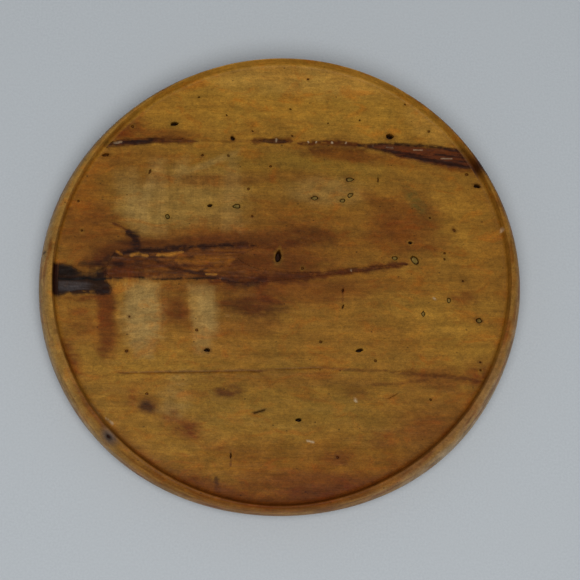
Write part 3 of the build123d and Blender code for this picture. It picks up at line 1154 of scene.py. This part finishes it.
def wood_material(name, roughness=0.46, coat=0.02, fibre=1.0, pores=1.0):
    """Old waxed wood: painted colour, fibres, pores, mottling and a thin worn coat."""
    g = Graph(bpy.data.materials.new(name))
    grain = g.attribute("grain", "Vector")
    threads = g.noise(grain, 0.09, 1.9, 3.0, 0.6, 0.2)
    hairs = g.noise(grain, 0.28, 4.2, 2.0, 0.6)
    bands = g.noise(grain, 0.02, 0.30, 3.0, 0.55, 0.4)
    cloud = g.noise(grain, 0.11, 0.16, 4.0, 0.6, 0.6)
    specks = g.noise(grain, 0.9, 2.6)
    blotch = g.noise(grain, 0.45, 0.7, 3.0, 0.6, 0.5)
    grit = g.noise(grain, 1.6, 2.4, 3.0, 0.7)
    hue = g.noise(grain, 0.07, 0.13, 4.0, 0.65, 0.8)
    scrapes = g.noise(grain, 0.42, 0.04, 3.0, 0.6, 1.0)
    dirt = g.add("TexVoronoi", "Distance", {"Vector": g.scaled(grain, 0.13, 0.17), "Scale": 1.0})
    scrapes = g.between(scrapes, 0.3, 0.72, -0.07, 0.15)
    scraped = g.math("MULTIPLY", g.attribute("worn", "Fac"), scrapes)
    value = g.math("MULTIPLY_ADD", threads, 0.42 * fibre, 1.0 - 0.21 * fibre)
    for factor in (
        g.between(hairs, 0.2, 0.8, 1 - 0.08 * fibre, 1 + 0.08 * fibre),
        g.between(bands, 0.25, 0.75, 0.88, 1.12),
        g.between(cloud, 0.25, 0.75, 0.84, 1.16),
        g.between(blotch, 0.25, 0.75, 0.84, 1.16),
        g.between(grit, 0.3, 0.7, 0.82, 1.18),
        g.math("ADD", scraped, 1.0),
        g.between(specks, 0.55, 0.78, 1.0, 1 - 0.28 * pores),
        g.between(dirt, 0.035, 0.085, 0.45, 1.0),
    ):
        value = g.math("MULTIPLY", value, factor)
    shade = g.mix(1.0, g.attribute("tint"), value, "MULTIPLY")
    warm = g.mix(1.0, shade, (1.08, 0.84, 0.62, 1.0), "MULTIPLY")
    glossy = g.math("ADD", threads, cloud)
    return g.surface({
        "Base Color": g.mix(g.between(hue, 0.48, 0.72), shade, warm),
        "Roughness": g.between(glossy, 0.7, 1.3, roughness + 0.10, roughness - 0.08),
        "Coat Weight": coat,
        "Coat Roughness": 0.22,
        "Specular IOR Level": 0.10,
        "Normal": g.bump(specks, 0.00006, Normal=g.bump(threads, 0.00010)),
    })


def paper_material():
    """Pale blue-grey paper with a faint tooth."""
    g = Graph(bpy.data.materials.new("paper"))
    spot = g.add("TexCoord", "Object", {})
    tooth = g.noise(spot, 900, 900, 3.0, 0.6)
    cloud = g.noise(spot, 30, 30, 3.0, 0.5)
    color = g.mix(g.between(tooth, 0.3, 0.7), (0.560, 0.600, 0.636, 1), (0.610, 0.652, 0.688, 1))
    return g.surface({
        "Base Color": g.mix(g.between(cloud, 0.2, 0.8, 0.0, 0.5), color, (0.588, 0.626, 0.658, 1)),
        "Roughness": g.between(tooth, 0.0, 1.0, 0.75, 0.95),
        "Specular IOR Level": 0.25,
        "Normal": g.bump(tooth, 0.0002),
    })


# ==== build ====
plate_wood = wood_material("plate_wood")
dead_knot = wood_material("dead_knot", roughness=0.45, coat=0.04, fibre=1.2)
branch_wood = wood_material("branch_wood", roughness=0.44, coat=0.08, fibre=1.2)
ingrown_bark = wood_material("ingrown_bark", roughness=0.42, coat=0.1, fibre=1.3)
packed_dust = wood_material("packed_dust", roughness=0.7, coat=0.0, fibre=0.4, pores=1.5)


def knot_relief(x, y):
    return 0.08 * fractal(x / 3, y / 1.6, 92, 3)


def spike_relief(x, y):
    return 0.05 * noise(x / 5, y / 0.8, 93) + 0.04 * fractal(x / 2, y / 1, 94, 2)


def bark_relief(x, y):
    return 0.10 * fractal(x / 3, y / 1.2, 95, 3) - 0.04


def paint_knot(x, y):
    """The dead knot: sooty black, with a painted grey sheen on its lower left and a crack in the
    middle, painted black as its shade since the mesh has no groove there.
    """
    cover = knot_cover(x, y)
    streak = 0.5 + 0.5 * noise(x / 8, y / 0.6, 99)
    sheen = step(0.0, -2.0, y) * step(-6.5, -4.5, y) * step(-92, -99, x)
    crack = np.abs(y - 0.8 - 0.7 * noise(x / 4, 0.2, 91))
    return layered(
        paint(x, y),
        (0.3 * cover, "black"),
        (cover * sheen * (0.25 + 0.75 * streak), "slate"),
        (cover * step(1.5, 3.0, y) * step(-96, -103, x) * 0.6, "black"),
        # Painted shade: the crack, black, with no groove in the mesh under it.
        ((1 - step(0.15, 0.7, crack)) * 0.95, "black"))


def inlay_piece(name, node, material, loops, relief, painter, sink=0.06):
    points, faces = join_solids([inlay(loop, relief, sink) for loop in loops])
    make_piece(name, points, faces, painter(*points.T[:2]), material, node)


def bead(x, y, top, bottom, rings):
    """A closed solid: a top point, rings of points from the top down, and a bottom point."""
    count = len(rings[0])
    faces = []
    last = 1 + (len(rings) - 1) * count
    for k in range(count):
        j = (k + 1) % count
        faces.append((0, 1 + k, 1 + j))
        for low in range(1, last, count):
            high = low + count
            faces.append((low + k, high + k, high + j, low + j))
        faces.append((last + count, last + j, last + k))
    return np.concatenate([[[x, y, top]], *rings, [[x, y, bottom]]]), faces


def plug_solid(hole, seed):
    """A small domed plug of packed dust in one hole."""
    rings = []
    for scale, z in ((0.3, -0.06), (0.55, -0.10), (0.7, -0.25), (0.7, -1.2)):
        u, v = ragged_ring(hole, scale, 20, seed)
        lump = 0.05 * noise(u * 2, v * 2, seed) * (z > -1)
        rings.append(np.column_stack([place_at(hole, u, v), FLOOR - SKIN + z + lump]))
    return bead(*hole[:2], FLOOR - 0.16, FLOOR - 1.32, rings)


def paint_dust(x, y):
    speck = 0.5 + 0.5 * fractal(x / 0.8, y / 0.8, 97, 2)
    return blend_in(plain(x, "smoke"), speck * 0.5, "tan")


def slope_height(x, y):
    """Height of the leaning outside of the rim."""
    angle = np.arctan2(y, x)
    _, around = well_polar(x, y)
    inner = np.hypot(*crest_points(around).T)
    lean = np.clip((np.hypot(x, y) - inner) / (edge_radius(angle) - inner), 0, 0.99)
    return BULGE + (HEIGHT - BULGE) * np.sqrt(1 - lean**2)


def pin_knot_solid():
    """The small pin knot in the outside of the rim: a dark bead, set just proud of the slope."""
    cx, cy = PIN_KNOT
    t = np.linspace(0, 2 * math.pi, 28, endpoint=False)
    uneven = 1 + 0.12 * noise(1.4 * np.cos(t), 1.4 * np.sin(t), 98)
    rings = []
    for scale, drop in ((0.35, 0.0), (0.7, -0.04), (0.95, -0.15), (0.95, -1.5)):
        reach = scale * uneven
        u, v = 1.5 * reach * np.cos(t), reach * np.sin(t)
        x, y = cx + (u + v) * math.sqrt(0.5), cy + (v - u) * math.sqrt(0.5)
        rings.append(np.column_stack([x, y, slope_height(x, y) + drop]))
    top = slope_height(np.array([cx]), np.array([cy]))[0]
    return bead(cx, cy, top, top - 1.6, rings)


plate_piece(plate_wood)
inlay_piece("knot", "black_knot", dead_knot,
            [LOOPS["black_knot"]], knot_relief, paint_knot, 0.15)
inlay_piece("spike", "branch_spike", branch_wood,
            [LOOPS["branch_spike"]], spike_relief, paint)
inlay_piece("bark", "bark_pocket", ingrown_bark,
            [LOOPS["bark_pocket"]], bark_relief, paint)
inlay_piece("seams", "bark_seams", ingrown_bark,
            [LOOPS["left_seam"], LOOPS["short_seam"]], bark_relief, paint)
plugs = [plug_solid(hole, k + len(OPEN_HOLES)) for k, hole in enumerate(PACKED_HOLES)]
plug_points, plug_faces = join_solids(plugs)
make_piece("plugs", plug_points, plug_faces, paint_dust(*plug_points.T[:2]),
           packed_dust, "hole_plugs")
pin_points, pin_faces = pin_knot_solid()
make_piece("pin", pin_points, pin_faces, plain(pin_points, "soot"),
           dead_knot, "pin_knot")

# ==== floor, light and camera ====
bpy.ops.mesh.primitive_plane_add(size=6)
sheet = bpy.context.object
sheet.name = "sheet"
sheet.data.materials.append(paper_material())

sky = Graph(bpy.data.worlds.new("studio"))
bpy.context.scene.world = sky.owner
height = sky.add("SeparateXYZ", "Z", {0: sky.add("TexCoord", "Generated", {})})
fade = sky.add("MapRange", "Result", {"Value": height, "From Min": 0.15, "From Max": 0.9,
                                      "To Min": 0.34, "To Max": 0.14})
sky.plug(sky.tree.nodes["Background"], {"Strength": fade, "Color": (0.97, 0.99, 1.0, 1.0)})


def soft_light(name, azimuth, elevation, distance, size, power):
    """A round soft light that points at the plate. Azimuth 0 is from the south side (-Y)."""
    data = bpy.data.lights.new(name, "AREA")
    data.shape = "DISK"
    data.size = size
    data.energy = power
    light = bpy.data.objects.new(name, data)
    bpy.context.collection.objects.link(light)
    a, e = math.radians(azimuth), math.radians(elevation)
    back = Vector((math.sin(a) * math.cos(e), -math.cos(a) * math.cos(e), math.sin(e)))
    light.location = back * distance
    light.rotation_euler = back.to_track_quat("Z", "Y").to_euler()


soft_light("main", azimuth=-6, elevation=72, distance=1.6, size=1.4, power=16.2)

# The camera looks almost straight down, from a little to the south and west.
CAMERA_TILT = math.radians(13.45)
CAMERA_AZIMUTH = math.radians(-20.1)
CAMERA_DISTANCE = 1.1
FOCAL_LENGTH = 137.75  # in mm
AIM_RIGHT = 0.0042  # from the plate's middle to the middle of the picture
AIM_UP = -0.0021
toward = Vector((math.sin(CAMERA_AZIMUTH) * math.sin(CAMERA_TILT),
                 -math.cos(CAMERA_AZIMUTH) * math.sin(CAMERA_TILT),
                 math.cos(CAMERA_TILT)))
right = Vector((0, 1, 0)).cross(toward).normalized()
upward = toward.cross(right)
lens = bpy.data.cameras.new("camera")
lens.sensor_width = 36
lens.lens = FOCAL_LENGTH
camera = bpy.data.objects.new("camera", lens)
bpy.context.collection.objects.link(camera)
aim = Vector((0, 0, HEIGHT * MM / 2)) + right * AIM_RIGHT + upward * AIM_UP
camera.location = aim + toward * CAMERA_DISTANCE
camera.rotation_mode = "QUATERNION"
spin = Matrix((right, upward, toward)).transposed()
camera.rotation_quaternion = spin.to_quaternion()
bpy.context.scene.camera = camera
bpy.context.scene.view_settings.view_transform = "Standard"
